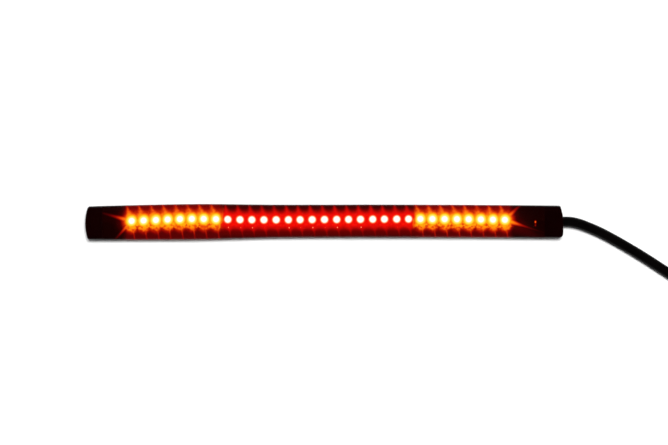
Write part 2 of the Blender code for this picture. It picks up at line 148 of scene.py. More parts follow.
# %% Arithmetic that builds Math nodes
class Signal:
    """A number that a material works out for each point of a surface."""

    def __init__(self, tree, source):
        self.tree = tree
        self.source = source

    def math(self, operation, *others):
        node = self.tree.nodes.new("ShaderNodeMath")
        node.operation = operation
        for socket, value in zip(node.inputs, (self, *others)):
            if isinstance(value, Signal):
                self.tree.links.new(value.source, socket)
            else:
                socket.default_value = value
        return Signal(self.tree, node.outputs[0])

    def __add__(self, other):
        return self.math("ADD", other)

    def __sub__(self, other):
        return self.math("SUBTRACT", other)

    def __mul__(self, other):
        return self.math("MULTIPLY", other)

    def __truediv__(self, other):
        return self.math("DIVIDE", other)

    def inverse(self):
        """1 minus this."""
        return self.math("MULTIPLY_ADD", -1, 1)

    def nearest(self, low, high):
        """The nearest whole number between two limits."""
        return self.math("ROUND").math("MAXIMUM", low).math("MINIMUM", high)

    def bell(self, width):
        """1 at zero, falling off smoothly on both sides."""
        share = self / width
        return (share * share * -1).math("EXPONENT")

    def smooth(self, low, high):
        """0 below low, 1 above high and a soft step between them."""
        node = self.tree.nodes.new("ShaderNodeMapRange")
        node.interpolation_type = "SMOOTHSTEP"
        self.tree.links.new(self.source, node.inputs["Value"])
        node.inputs["From Min"].default_value = low
        node.inputs["From Max"].default_value = high
        return Signal(self.tree, node.outputs["Result"])

    def table(self, stops):
        """The value read off a line through (place, value) stops."""
        return Signal(self.tree, self.colours([(x, (y, y, y)) for x, y in stops]))

    def colours(self, stops):
        """The colour read off a row of (place, colour) stops."""
        low, high = stops[0][0], stops[-1][0]
        scaled = (self - low) / (high - low)
        node = self.tree.nodes.new("ShaderNodeValToRGB")
        elements = node.color_ramp.elements
        while len(elements) < len(stops):
            elements.new(1)
        for element, (x, colour) in zip(elements, stops):
            element.position = (x - low) / (high - low)
        for element, (x, colour) in zip(elements, stops):
            element.color = (*colour, 1)
        self.tree.links.new(scaled.source, node.inputs["Fac"])
        return node.outputs["Color"]


def new_material(name):
    made = bpy.data.materials.new(name)
    made.use_nodes = True
    return made, made.node_tree, made.node_tree.nodes["Principled BSDF"]


def stored(tree, name):
    """A number that the mesh carries at each point."""
    node = tree.nodes.new("ShaderNodeAttribute")
    node.attribute_name = name
    return Signal(tree, node.outputs["Fac"])


def grain(tree, scale, detail=2, stretch=(1, 1, 1)):
    """Soft noise in the object's own space, with this many cells to a metre."""
    place = tree.nodes.new("ShaderNodeTexCoord")
    spread = tree.nodes.new("ShaderNodeMapping")
    spread.inputs["Scale"].default_value = stretch
    noise_node = tree.nodes.new("ShaderNodeTexNoise")
    noise_node.inputs["Scale"].default_value = scale
    noise_node.inputs["Detail"].default_value = detail
    tree.links.new(place.outputs["Object"], spread.inputs["Vector"])
    tree.links.new(spread.outputs["Vector"], noise_node.inputs["Vector"])
    return Signal(tree, noise_node.outputs["Fac"])


def raise_surface(tree, shader, height, depth):
    """Bump, with depth the real height in metres of a full step from 0 to 1."""
    bump = tree.nodes.new("ShaderNodeBump")
    bump.inputs["Distance"].default_value = depth
    bump.inputs["Strength"].default_value = 1.0
    tree.links.new(height.source, bump.inputs["Height"])
    tree.links.new(bump.outputs["Normal"], shader.inputs["Normal"])


def moulded(name, dark, light, roughness, scale=900, depth=0.01 * MM, spread=0.06):
    """A moulded finish: two near tones in soft patches, fine pits and a gloss that varies a little."""
    made, tree, shader = new_material(name)
    patches = grain(tree, scale / 12, detail=3)
    pits = grain(tree, scale * 3, detail=2)
    tree.links.new(patches.colours([(0.3, dark), (0.7, light)]), shader.inputs["Base Color"])
    gloss = patches.table([(0.3, roughness - spread), (0.7, roughness + spread)])
    tree.links.new(gloss.source, shader.inputs["Roughness"])
    raise_surface(tree, shader, pits, depth)
    return made


print("material helpers ready")

# %% [markdown]
# The bar lies on a clean white ground with one short, soft shadow just below it. A wide even lamp
# almost overhead, a little to the far side, gives that. The body is smooth and nearly black, so what
# it mirrors decides how it looks: the lamp is kept out of mirrored light, the sky overhead is dim,
# and a soft glow stands low in the sky at both ends of the bar, where only a slanting view meets it.

# %% Floor, lamp and sky
FLOOR_HALF = 3.0
FLOOR_SINK = 0.05 * MM
SKY_GLOW = 0.045
SKY_DIM = 0.0025


def lay_floor():
    bm = bmesh.new()
    bmesh.ops.create_grid(bm, x_segments=8, y_segments=8, size=FLOOR_HALF)
    mesh = bpy.data.meshes.new("floor")
    bm.to_mesh(mesh)
    bm.free()
    floor = bpy.data.objects.new("floor", mesh)
    floor.location.z = -FLOOR_SINK
    bpy.context.scene.collection.objects.link(floor)
    finish, tree, shader = new_material("white_ground")
    shader.inputs["Base Color"].default_value = (0.92, 0.92, 0.92, 1)
    shader.inputs["Roughness"].default_value = 0.9
    shader.inputs["Specular IOR Level"].default_value = 0.1
    mesh.materials.append(finish)


def hang_lamp(name, toward, width, strength):
    """An even light from a round patch of sky in this direction."""
    lamp = bpy.data.lights.new(name, "SUN")
    lamp.angle = math.radians(width)
    lamp.energy = strength
    holder = bpy.data.objects.new(name, lamp)
    holder.location = toward
    holder.rotation_mode = "QUATERNION"
    holder.rotation_quaternion = holder.location.to_track_quat("Z", "Y")
    holder.visible_glossy = False
    bpy.context.scene.collection.objects.link(holder)


def paint_sky():
    sky = bpy.data.worlds.new("sky")
    sky.use_nodes = True
    bpy.context.scene.world = sky
    tree = sky.node_tree
    background = tree.nodes["Background"]
    background.inputs["Color"].default_value = (1, 1, 1, 1)
    place = tree.nodes.new("ShaderNodeTexCoord")
    split = tree.nodes.new("ShaderNodeSeparateXYZ")
    who = tree.nodes.new("ShaderNodeLightPath")
    tree.links.new(place.outputs["Generated"], split.inputs["Vector"])
    up = Signal(tree, split.outputs["Z"])
    sideways = Signal(tree, split.outputs["X"]).math("ABSOLUTE")
    low_glow = up.smooth(0.1, 0.75).inverse() * sideways.smooth(0.3, 0.7)
    strength = low_glow * SKY_GLOW + SKY_DIM
    seen = Signal(tree, who.outputs["Is Camera Ray"])
    strength = strength + seen * (strength * -1 + 1)
    tree.links.new(strength.source, background.inputs["Strength"])


lay_floor()
hang_lamp("far_lamp", (0.16, 0.44, 2.45), 21, 3.8)
paint_sky()

# %% [markdown]
# The cable is one length of round flexible cable, so it is one curve. It comes straight out of the
# bar's end, curves down to the floor and runs into a flat coil that takes up the rest. Its first
# points are those of the solid model. The turns of the coil follow a rule, two beside each other in
# three layers. A turn that has gone round moves over by one diameter, and the turn after that rolls
# up on to the one that comes in below it.

# %% The cable's line
CABLE_LENGTH = 0.85
CABLE_DIAMETER = 4.4 * MM
CABLE_ROUTE = (
    (0.0968, 0.0000, 0.00340),
    (0.1025, 0.0001, 0.00340),
    (0.1060, 0.0000, 0.00332),
    (0.1095, -0.0008, 0.00302),
    (0.1130, -0.0021, 0.00264),
    (0.1177, -0.0041, 0.00236),
    (0.1246, -0.0077, 0.00225),
    (0.1314, -0.0116, 0.00225),
    (0.1383, -0.0158, 0.00225),
    (0.1451, -0.0202, 0.00225),
    (0.1523, -0.0249, 0.00225),
)
COIL = middle_of("cable_coil")
COIL_LOW, COIL_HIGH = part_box("cable_coil")
OUTER_TURN = (COIL_HIGH.x - COIL_LOW.x - CABLE_DIAMETER) / 2
TIE = middle_of("coil_tie")
TIE_ANGLE = math.atan2(TIE.y - COIL.y, TIE.x - COIL.x)
JOG = 60  # degrees in which a turn moves over by one diameter
INWARD_FROM = 165  # where the turns on the floor move inwards, in degrees round the coil
TURN_STEP = 7.5
REST_Z = 2.25 * MM
TIE_LIFT = 0.7 * MM  # the strap passes under the turns
TIE_REACH = 16


def ease(share):
    share = min(1, max(0, share))
    return share * share * (3 - 2 * share)


def turn_place(angle):
    """Radius and height of the wound cable at an angle that keeps counting up from turn to turn."""
    done = angle - INWARD_FROM
    inwards = ease((done - 360) / JOG) + ease((done - 360 * 5) / JOG + 2)
    outwards = ease((done - 360 * 3) / JOG + 1)
    climbs = 0
    for below in (ease((done - 360 * 2) / JOG), ease((done - 360 * 4) / JOG + 1)):
        climbs += math.sqrt(1 - (1 - below) ** 2)
    off_tie = (angle - math.degrees(TIE_ANGLE) + 180) % 360 - 180
    lift = TIE_LIFT * math.exp(-((off_tie / TIE_REACH) ** 2))
    return OUTER_TURN + CABLE_DIAMETER * (outwards - inwards), REST_Z + lift + CABLE_DIAMETER * climbs


def wind_cable():
    """The points of the whole cable, cut off at its length, and the angle where it ends."""
    points = [Vector(p) for p in CABLE_ROUTE]
    onward = (points[-1] - points[-2]).normalized()
    angle = math.degrees(math.atan2(onward.y, onward.x)) + 270
    first = COIL + Vector((math.cos(math.radians(angle)), math.sin(math.radians(angle)), 0)) * OUTER_TURN
    first.z = REST_Z
    for share in (1 / 3, 2 / 3):
        points.append(points[len(CABLE_ROUTE) - 1].lerp(first, share))
    length = sum((b - a).length for a, b in zip(points, points[1:]))
    while True:
        radius, z = turn_place(angle)
        turn = math.radians(angle)
        point = Vector((COIL.x + radius * math.cos(turn), COIL.y + radius * math.sin(turn), z))
        piece = (point - points[-1]).length
        if length + piece >= CABLE_LENGTH:
            points.append(points[-1].lerp(point, (CABLE_LENGTH - length) / piece))
            return points, angle
        points.append(point)
        length += piece
        angle += TURN_STEP


CABLE_POINTS, CABLE_END_ANGLE = wind_cable()
print(f"{len(CABLE_POINTS)} points, end at {CABLE_END_ANGLE % 360:.0f} degrees")


# %% Put a round wire along a line
def wire(name, points, diameter, finish, roundness=8):
    """A round wire as one open curve with closed ends."""
    curve = bpy.data.curves.new(name, "CURVE")
    curve.dimensions = "3D"
    curve.bevel_depth = diameter / 2
    curve.bevel_resolution = roundness
    curve.use_fill_caps = True
    curve.resolution_u = 6
    spline = curve.splines.new("BEZIER")
    spline.bezier_points.add(len(points) - 1)
    for target, point in zip(spline.bezier_points, points):
        target.co = point
        target.handle_left_type = target.handle_right_type = "AUTO"
    curve.materials.append(finish)
    made = bpy.data.objects.new(name, curve)
    bpy.context.scene.collection.objects.link(made)
    return made

# %% [markdown]
# The cable's jacket is extruded soft plastic: satin black, with a very fine grain
# and a faint unevenness from the cores inside.

# %% The cable
def jacket_finish():
    made, tree, shader = new_material("jacket_black")
    patches = grain(tree, 140, detail=3)
    dust = grain(tree, 5200, detail=2)
    tree.links.new(patches.colours([(0.3, (0.001, 0.0008, 0.0008)), (0.7, (0.0025, 0.0018, 0.0018))]),
                   shader.inputs["Base Color"])
    gloss = patches.table([(0.3, 0.36), (0.7, 0.48)])
    tree.links.new(gloss.source, shader.inputs["Roughness"])
    shader.inputs["Specular IOR Level"].default_value = 0.05
    raise_surface(tree, shader, dust + patches * 3, 0.006 * MM)
    return made


cable = wire("cable_run", CABLE_POINTS, CABLE_DIAMETER, jacket_finish())
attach(cable, "root")
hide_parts("cable", "cable_coil")
print("cable", cable.name, "with", len(CABLE_POINTS), "points")

# %% [markdown]
# The smoked lens is one long channel of soft silicone over the board, like an upturned gutter. Its
# section is simple, so the mesh is a loft: the same ring of points is set up every 0.6 millimetres
# along the bar, and the rings are joined. Each outer point also stores where it is, counted in
# lights along the row and in millimetres across it, for the glow that is worked out further down.

# %% The lens as a mesh
LENS_STEP = 0.6 * MM
ROOF_STEPS = 22
EDGE_STEPS = 6
WALL_STEPS = 5
EDGE_RADIUS = 2.0 * MM
ROOF_SAG = 0.06 * MM
INNER_HALF = (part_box("base_strip")[1].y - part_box("base_strip")[0].y) / 2
CEILING = LIGHTS[0].z + (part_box(LIGHT_NAMES[0])[1].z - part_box(LIGHT_NAMES[0])[0].z) / 2 + 0.3 * MM
SMOKED_WALL = 1.725 * MM


def light_count(x):
    """How many lights lie before x, running on evenly between one light and the next."""
    if x <= LIGHTS[0].x:
        return (x - LIGHTS[0].x) / PITCH
    for i, (near, far) in enumerate(zip(LIGHTS, LIGHTS[1:])):
        if x <= far.x:
            return i + (x - near.x) / (far.x - near.x)
    return len(LIGHTS) - 1 + (x - LIGHTS[-1].x) / PITCH


def outer_skin(half):
    """The lens's outer section from the lower edge at -Y over the top to the lower edge at +Y."""
    flat = half - EDGE_RADIUS
    points = []
    for i in range(WALL_STEPS):
        points.append((half, LENS_LOW.z + (LENS_HIGH.z - EDGE_RADIUS - LENS_LOW.z) * i / WALL_STEPS))
    for i in range(EDGE_STEPS + 1):
        turn = math.pi / 2 * i / EDGE_STEPS
        z = LENS_HIGH.z - ROOF_SAG - EDGE_RADIUS * (1 - math.sin(turn))
        points.append((flat + EDGE_RADIUS * math.cos(turn), z))
    for i in range(1, ROOF_STEPS // 2):
        y = flat * (1 - 2 * i / ROOF_STEPS)
        points.append((y, LENS_HIGH.z - ROOF_SAG * (y / flat) ** 2))
    return [(-y, z) for y, z in points] + [(0, LENS_HIGH.z)] + points[::-1]


def loft_bar(name, xs, ring_at):
    """A skin over rings of (y, z) points, one for each x, with filled ends."""
    bm = bmesh.new()
    rings = [[bm.verts.new((x, y, z)) for y, z in ring_at(x)] for x in xs]
    for near, far in zip(rings, rings[1:]):
        for i in range(len(near)):
            j = (i + 1) % len(near)
            bm.faces.new((near[i], near[j], far[j], far[i]))
    bm.faces.new(rings[0])
    bm.faces.new(rings[-1])
    bmesh.ops.recalc_face_normals(bm, faces=bm.faces)
    mesh = bpy.data.meshes.new(name)
    bm.to_mesh(mesh)
    bm.free()
    mesh.shade_smooth()
    mesh.set_sharp_from_angle(angle=math.radians(40))
    made = bpy.data.objects.new(name, mesh)
    bpy.context.scene.collection.objects.link(made)
    return made


def evenly(start, end, step):
    count = max(1, round((end - start) / step))
    return [start + (end - start) * i / count for i in range(count + 1)]


STRAIGHT_HALF = min(high - low for x, low, high in LENS_LINE) / 2


def lens_ring(x):
    half = lens_half(x)
    middle = lens_middle(x)
    inner = half * (STRAIGHT_HALF - SMOKED_WALL) / STRAIGHT_HALF
    corner = 0.25 * MM
    inside = [(inner, LENS_LOW.z), (inner, CEILING - corner), (inner - corner, CEILING)]
    ring = outer_skin(half) + inside + [(-y, z) for y, z in inside[::-1]]
    return [(middle + y, z) for y, z in ring]


def store_places(made):
    """Writes the count of lights and the distance off the row, along the skin, to each point."""
    mesh = made.data
    count = mesh.attributes.new("count", "FLOAT", "POINT")
    off_row = mesh.attributes.new("off_row", "FLOAT", "POINT")
    for vertex in mesh.vertices:
        x, y, z = vertex.co
        side = y - row_line(min(max(x, BOARD_LOW.x), BOARD_HIGH.x))
        down = max(0, LENS_HIGH.z - z - EDGE_RADIUS * 0.3)
        count.data[vertex.index].value = light_count(x)
        off_row.data[vertex.index].value = (side + math.copysign(down, side)) / MM


lens = loft_bar("smoked_lens", evenly(LENS_LOW.x, LENS_HIGH.x, LENS_STEP), lens_ring)
store_places(lens)
print("lens:", len(lens.data.polygons), "faces")

# %% [markdown]
# The bar is lit, and the glow is what one sees of it. On the real bar each light is a bright disc
# with a halo, and slanting rays of glare run out from it. Real lamps under a clear body would need
# very long renders for that. Instead, the glow is painted light: the skin itself glows by a rule, a
# heat from 0 to 1, worked out from the distance to the nearest light, to the row and to the nearest
# painted ray. A row of colours then turns heat into light. Amber and red sections have rows of their own.

# %% Where the painted glow is hot
# The painted rays of glare lean from each light by these angles, above and below the row.
AMBER_LEAN_ABOVE = math.tan(math.radians(18.5))
RED_LEAN_ABOVE = math.tan(math.radians(10))
RAY_LEAN_BELOW = math.tan(math.radians(9.5))
RAY_WIDTH = [(-14, 0.5), (-7, 0.3), (-5.6, 0.34), (-4.8, 0.6), (-4.1, 1.15), (-3.4, 1.6), (0, 2.2),
             (2.4, 1.75), (3.4, 1.3), (4.6, 0.95), (5.6, 0.62), (7, 0.42), (14, 0.5)]
AMBER_DISC = [(0, 1), (1.1, 1), (1.3, 0.94), (1.55, 0.89), (1.95, 0.84), (2.35, 0.74), (2.8, 0.6),
              (3.4, 0.46), (5, 0.2), (9, 0)]
AMBER_BETWEEN = [(-14, 0.1), (-9, 0.24), (-7.1, 0.24), (-6.2, 0.27), (-5.4, 0.37), (-4.9, 0.45),
                 (-4.5, 0.56), (-4.1, 0.66), (-3.6, 0.69), (-1.8, 0.73), (-0.1, 0.745), (1.2, 0.7), (2, 0.6),
                 (2.9, 0.46), (3.75, 0.4), (4.6, 0.33), (5.4, 0.28), (6.4, 0.28), (7.4, 0.27),
                 (9, 0.15), (14, 0.08)]
AMBER_RAY = [(-14, 0.14), (-7.5, 0.34), (-6.4, 0.4), (-5.2, 0.48), (-4.4, 0.58), (-3.6, 0.66), (-2.7, 0.74),
             (0, 0.8), (1.6, 0.76), (2.4, 0.7), (3.2, 0.63), (4.2, 0.57), (5.4, 0.5), (6.5, 0.44),
             (7.5, 0.33), (14, 0.12)]
RED_DISC = [(0, 1), (1.15, 1), (1.35, 0.93), (1.62, 0.86), (1.9, 0.79), (2.4, 0.73), (3.2, 0.52),
            (4.2, 0.26), (7, 0)]
RED_BETWEEN = [(-14, 0.06), (-7.4, 0.2), (-6.4, 0.26), (-5.4, 0.3), (-5, 0.34), (-4.6, 0.4), (-4.2, 0.47),
               (-3.7, 0.56), (-3.3, 0.64), (-2.9, 0.72), (-2.4, 0.78), (1.9, 0.75), (2.4, 0.67),
               (3.2, 0.5), (4.1, 0.31), (4.9, 0.19), (5.8, 0.17), (6.7, 0.16), (14, 0.05)]
RED_RAY = [(-14, 0.1), (-7.2, 0.28), (-5.4, 0.46), (-4.5, 0.6), (-3.6, 0.69), (-2.8, 0.75), (2.4, 0.76),
           (3.2, 0.72), (4.1, 0.66), (4.9, 0.58), (5.8, 0.45), (6.7, 0.32), (14, 0.08)]
AMBER_LIGHT = [(0, (0, 0, 0)), (0.1, (0.010, 0.0003, 0.0002)), (0.18, (0.04, 0.0003, 0.0006)),
               (0.25, (0.10, 0.0004, 0.0008)), (0.35, (0.30, 0.003, 0.001)), (0.45, (0.56, 0.02, 0.001)),
               (0.55, (0.88, 0.085, 0.003)), (0.65, (1, 0.24, 0.003)), (0.75, (1, 0.46, 0.004)),
               (0.85, (1, 0.74, 0.05)), (0.92, (1, 0.93, 0.25)), (1, (1, 1, 1))]
RED_LIGHT = [(0, (0, 0, 0)), (0.1, (0.0144, 0.0001, 0.0001)), (0.2, (0.051, 0.0003, 0.0003)),
             (0.3, (0.117, 0.0005, 0.0004)), (0.4, (0.216, 0.0008, 0.0005)), (0.5, (0.352, 0.001, 0.0006)),
             (0.6, (0.527, 0.002, 0.0007)), (0.7, (0.745, 0.002, 0.0007)), (0.77, (0.93, 0.004, 0.001)),
             (0.82, (1, 0.06, 0.02)), (0.88, (1, 0.26, 0.1)), (0.93, (1, 0.8, 0.5)), (1, (1, 1, 1))]
SECTION_ENDS = (7.45, 23.55)  # amber to red and back, counted in lights
SECTION_BLUR = 0.22
LAST = len(LIGHTS) - 1
RAY_HEAT = [(0, 1), (3, 0.8), (5, 0.64), (7, 0.45), (10, 0.28), (15, 0.1), (19, 0)]
# Painted rays of glare that run long from the end lights.
END_RAYS = (  # light, direction in degrees, how far it reaches, how wide it is, its heat
    (0, 164.5, 1.0, 1.0, 0.8),
    (0, 228, 0.85, 0.9, 0.84),
    (LAST, 44, 0.85, 1.1, 0.84),
    (LAST, -17.6, 1.1, 0.9, 0.84),
    (LAST, -27, 2.2, 3.0, 0.25),
)
GLINT_BELOW = 3.4  # mm from a red light to the painted glint below it, where its resistor's solder would catch the light
PAINTED_GLINTS = (("core_blue", 0.64), ("core_red", 0.36))  # cores with a painted glint on their solder joint, and the glint's heat


def end_ray(along, off_row, light, direction, reach, breadth, strength):
    """The heat of one long painted ray of glare that leaves an end light."""
    east, north = math.cos(math.radians(direction)), math.sin(math.radians(direction))
    from_light = along - light * PITCH / MM
    out = (from_light * east + off_row * north) / reach
    aside = from_light * north - off_row * east
    width = out.table([(0, 2.3), (3, 1.7), (5, 1.2), (8, 0.85), (15, 0.5)]) * breadth
    started = out.smooth(-0.5, 1)
    return out.table(RAY_HEAT) * started * strength * (aside / width).bell(1)


def painted_glint_at(along, off_row, x, off, size, heat):
    """One small painted glint at a place given in mm."""
    return ((along - x) / size).bell(1) * ((off_row - off) / (size * 1.6)).bell(1) * heat


def heats(tree):
    """The painted glow's amber heat, red heat and share of red at each point of the lens."""
    count = stored(tree, "count")
    off_row = stored(tree, "off_row")
    along = count * (PITCH / MM)
    light = count.nearest(0, LAST)
    aside = (count - light) * (PITCH / MM)
    away = (aside * aside + off_row * off_row).math("SQRT")
    above, below = off_row.math("MAXIMUM", 0), off_row.math("MINIMUM", 0)
    ray_width = off_row.table(RAY_WIDTH)
    ray_strength = grain(tree, 190, detail=1).smooth(0.25, 0.6) * 0.25 + 0.75
    is_below = off_row.smooth(-0.5, 0.5).inverse()
    climb = aside.math("ABSOLUTE") * is_below
    in_row = count.table([(-2.6, 0.03), (-1.6, 0.1), (-1.05, 0.2), (-0.8, 0.42), (-0.35, 1), (LAST + 0.35, 1),
                          (LAST + 0.8, 0.42), (LAST + 1.05, 0.2), (LAST + 1.6, 0.1), (LAST + 2.6, 0.03)])
    # Soft patches where the painted glow is weaker, most of all just below the row.
    glow_fleck_zone = ((off_row + 2.3) / 1.6).bell(1) * 0.75 + 0.25
    glow_flecks = (grain(tree, 820, detail=2).smooth(0.35, 0.6) - 1) * glow_fleck_zone
    found = []
    for disc, between, ray, lean_above, scallop, glow_fleck_depth in (
        (AMBER_DISC, AMBER_BETWEEN, AMBER_RAY, AMBER_LEAN_ABOVE, 0.42, 0.22),
        (RED_DISC, RED_BETWEEN, RED_RAY, RED_LEAN_ABOVE, 0.05, 0.05),
    ):
        leaning = along + above * lean_above + below * RAY_LEAN_BELOW
        ray_light = (leaning / (PITCH / MM)).nearest(0, LAST)
        on_ray = ((leaning - ray_light * (PITCH / MM)) / ray_width).bell(1) * ray_strength
        low = (off_row - climb * scallop).table(between)
        heat = (low + (off_row.table(ray) - low) * on_ray) * in_row
        heat = heat + glow_flecks * heat.smooth(0.2, 0.5) * glow_fleck_depth
        found.append(heat.math("MAXIMUM", away.table(disc)))
    for ray in END_RAYS:
        found[0] = found[0].math("MAXIMUM", end_ray(along, off_row, *ray))
    # Painted glints where the cores' solder joints catch the light.
    for name, heat in PAINTED_GLINTS:
        x, off = solder_place(name)
        found[0] = found[0].math("MAXIMUM", painted_glint_at(along, off_row, x, off, 0.45, heat))
    chance = tree.nodes.new("ShaderNodeTexWhiteNoise")
    chance.noise_dimensions = "1D"
    tree.links.new(light.source, chance.inputs["W"])
    luck = Signal(tree, chance.outputs["Value"]).smooth(0.1, 0.8)
    # A painted glint below each red light, its strength random from light to light.
    glint = painted_glint_at(aside, off_row, 0.3, -GLINT_BELOW, 0.55, 1) * (luck * 0.2 + 0.72)
    found[1] = found[1].math("MAXIMUM", glint)
    frayed = count + (grain(tree, 330, detail=2) - 0.5) * 0.5
    to_red, to_amber = (
        frayed.smooth(end - SECTION_BLUR, end + SECTION_BLUR) for end in SECTION_ENDS
    )
    return (*found, to_red - to_amber)


def core_tip(name):
    """The x and y of the end that a core has on the board."""
    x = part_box(name)[0].x
    ends = [v.co.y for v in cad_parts[name].data.vertices if v.co.x < x + 0.2 * MM]
    return x, sum(ends) / len(ends)


def solder_place(name):
    """Where a core is soldered down, in mm from the first light along and off the row."""
    x, y = core_tip(name)
    return light_count(x) * PITCH / MM, (y - row_line(x)) / MM


# %% The smoked skin, with the painted glow as its emission
SKIN_ALPHA = 0.97


def skin_finish():
    made, tree, shader = new_material("smoked_silicone_painted_glow")
    amber, red, share = heats(tree)
    blend = tree.nodes.new("ShaderNodeMix")
    blend.data_type = "RGBA"
    tree.links.new(share.source, blend.inputs["Factor"])
    tree.links.new(amber.colours(AMBER_LIGHT), blend.inputs["A"])
    tree.links.new(red.colours(RED_LIGHT), blend.inputs["B"])
    # The emission paints the glow of the lights on the skin: discs, halos, rays of glare and glints.
    tree.links.new(blend.outputs["Result"], shader.inputs["Emission Color"])
    shader.inputs["Emission Strength"].default_value = 1 / SKIN_ALPHA
    smoke = grain(tree, 60, detail=3)
    tree.links.new(smoke.colours([(0.3, (0.0042, 0.0002, 0.0002)), (0.7, (0.0066, 0.0003, 0.0003))]),
                   shader.inputs["Base Color"])
    gloss = smoke.table([(0.3, 0.2), (0.7, 0.3)])
    tree.links.new(gloss.source, shader.inputs["Roughness"])
    shader.inputs["Specular IOR Level"].default_value = 0.07
    shader.inputs["Alpha"].default_value = SKIN_ALPHA
    ripple = grain(tree, 260, detail=2, stretch=(1, 0.35, 0.35))
    raise_surface(tree, shader, ripple + grain(tree, 3000, detail=2) * 0.1, 0.05 * MM)
    return made


def inner_finish():
    made, tree, shader = new_material("smoked_silicone_inside")
    shader.inputs["Roughness"].default_value = 0.35
    shader.inputs["Alpha"].default_value = 0.25
    smoke = grain(tree, 80)
    tree.links.new(smoke.colours([(0.3, (0.03, 0.002, 0.002)), (0.7, (0.05, 0.004, 0.003))]),
                   shader.inputs["Base Color"])
    return made


lens.data.materials.append(skin_finish())
lens.data.materials.append(inner_finish())
for face in lens.data.polygons:
    across = abs(face.center.y - lens_middle(face.center.x))
    under_skin = across < lens_half(face.center.x) - 0.4 * MM and face.center.z < CEILING + 0.1 * MM
    face.material_index = 1 if under_skin and abs(face.normal.x) < 0.9 else 0
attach(lens, "root")
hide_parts("tinted_lens")
print("lens finished with", len(lens.data.materials), "materials")

# %% [markdown]
# Under the lens lies a flexible board with the light sources, resistors and a diode soldered to it.
# Most of this only glimmers through the smoke, but it is what makes the bar work, and from the side
# the packages throw real light. Small moulded things are blocks with rounded edges, so one helper
# makes such a block in a mesh, with the finish that it belongs to.

# %% Blocks and drops of solder
def add_block(bm, low, high, finish=0, rounding=0.0, draft=0.0):
    """A block between two corners, its top drawn in by draft and its edges rounded."""
    low, high = Vector(low), Vector(high)
    made = bmesh.ops.create_cube(bm, size=1)["verts"]
    for vertex in made:
        share = vertex.co + Vector((0.5, 0.5, 0.5))
        lean = draft if share.z > 0.5 else 0
        inward = Vector((lean * (1 - 2 * share.x), lean * (1 - 2 * share.y), 0))
        vertex.co = Vector(low + inward + Vector([s * d for s, d in zip(share, high - low)]))
    faces = {face for vertex in made for face in vertex.link_faces}
    for face in faces:
        face.material_index = finish
    if rounding:
        edges = list({edge for vertex in made for edge in vertex.link_edges})
        bmesh.ops.bevel(bm, geom=edges, offset=rounding, segments=2, affect="EDGES", profile=0.5)


def add_solder(bm, place, size, finish=1):
    """A small fillet of solder, a low dome with its foot on the board."""
    made = bmesh.ops.create_uvsphere(bm, u_segments=12, v_segments=6, radius=0.5)["verts"]
    for vertex in made:
        flat = max(vertex.co.z, -0.05)
        vertex.co = Vector((place[0] + vertex.co.x * size[0], place[1] + vertex.co.y * size[1],
                            place[2] + flat * 2 * size[2]))
    for face in {face for vertex in made for face in vertex.link_faces}:
        face.material_index = finish


def mesh_piece(name, bm, finishes, smooth=30):
    mesh = bpy.data.meshes.new(name)
    bmesh.ops.recalc_face_normals(bm, faces=bm.faces)
    bm.to_mesh(mesh)
    bm.free()
    mesh.shade_smooth()
    mesh.set_sharp_from_angle(angle=math.radians(smooth))
    for finish in finishes:
        mesh.materials.append(finish)
    made = bpy.data.objects.new(name, mesh)
    bpy.context.scene.collection.objects.link(made)
    return made


def stands_for(made, slot, *nodes):
    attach(made, "root")
    if nodes:
        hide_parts(*nodes)


def solder_finish():
    made, tree, shader = new_material("tinned_joint")
    shader.inputs["Metallic"].default_value = 1.0
    cloud = grain(tree, 1500, detail=3)
    tree.links.new(cloud.colours([(0.3, (0.42, 0.41, 0.40)), (0.7, (0.7, 0.69, 0.67))]),
                   shader.inputs["Base Color"])
    tree.links.new(cloud.table([(0.3, 0.22), (0.7, 0.4)]).source, shader.inputs["Roughness"])
    raise_surface(tree, shader, cloud, 0.01 * MM)
    return made


SOLDER = solder_finish()
WHITE_HOUSING = moulded("package_white", (0.66, 0.66, 0.64), (0.78, 0.78, 0.76), 0.42, scale=2500,
                        depth=0.003 * MM)
CERAMIC = moulded("resistor_ceramic", (0.6, 0.59, 0.56), (0.74, 0.73, 0.7), 0.5, scale=4000, depth=0.004 * MM)
BLACK_GLAZE = moulded("resistor_glaze", (0.008, 0.008, 0.009), (0.018, 0.018, 0.02), 0.25, scale=3000,
                      depth=0.003 * MM)
BLACK_MOULDING = moulded("diode_moulding", (0.012, 0.012, 0.012), (0.024, 0.024, 0.025), 0.48, scale=3000,
                         depth=0.006 * MM)
print("finishes:", len(bpy.data.materials))

# %% [markdown]
# The board is a strip with white solder mask over copper tracks. The tracks show as faintly raised
# lines under the mask, so they are drawn by the same arithmetic as the glow: two long supply tracks
# beside the row, and short links from one package to the next.

# %% The flexible board
BOARD_STEP = 1.5 * MM
TRACKS = ((2.9, 0.45), (-3.3, 0.35))  # middle and half width in mm off the row
CORE_NAMES = [f"core_{colour}" for colour in COLOURS]


def board_finish():
    made, tree, shader = new_material("white_mask")
    off_row = stored(tree, "off_row")
    count = stored(tree, "count")
    track = None
    for middle, half in TRACKS:
        line = ((off_row - middle) / half).math("ABSOLUTE").smooth(0.9, 1.1).inverse()
        track = line if track is None else track.math("MAXIMUM", line)
    between = (count - count.nearest(0, LAST)).math("ABSOLUTE").smooth(0.3, 0.34)
    link = (off_row / 0.3).math("ABSOLUTE").smooth(0.9, 1.1).inverse() * between
    track = track.math("MAXIMUM", link)
    stain = grain(tree, 350, detail=4)
    tint = track * 0.5 + stain * 0.5
    tree.links.new(tint.colours([(0.2, (0.70, 0.70, 0.66)), (0.75, (0.60, 0.58, 0.46))]),
                   shader.inputs["Base Color"])
    tree.links.new(stain.table([(0.3, 0.38), (0.7, 0.52)]).source, shader.inputs["Roughness"])
    raise_surface(tree, shader, track + grain(tree, 4000) * 0.1, 0.035 * MM)
    return made


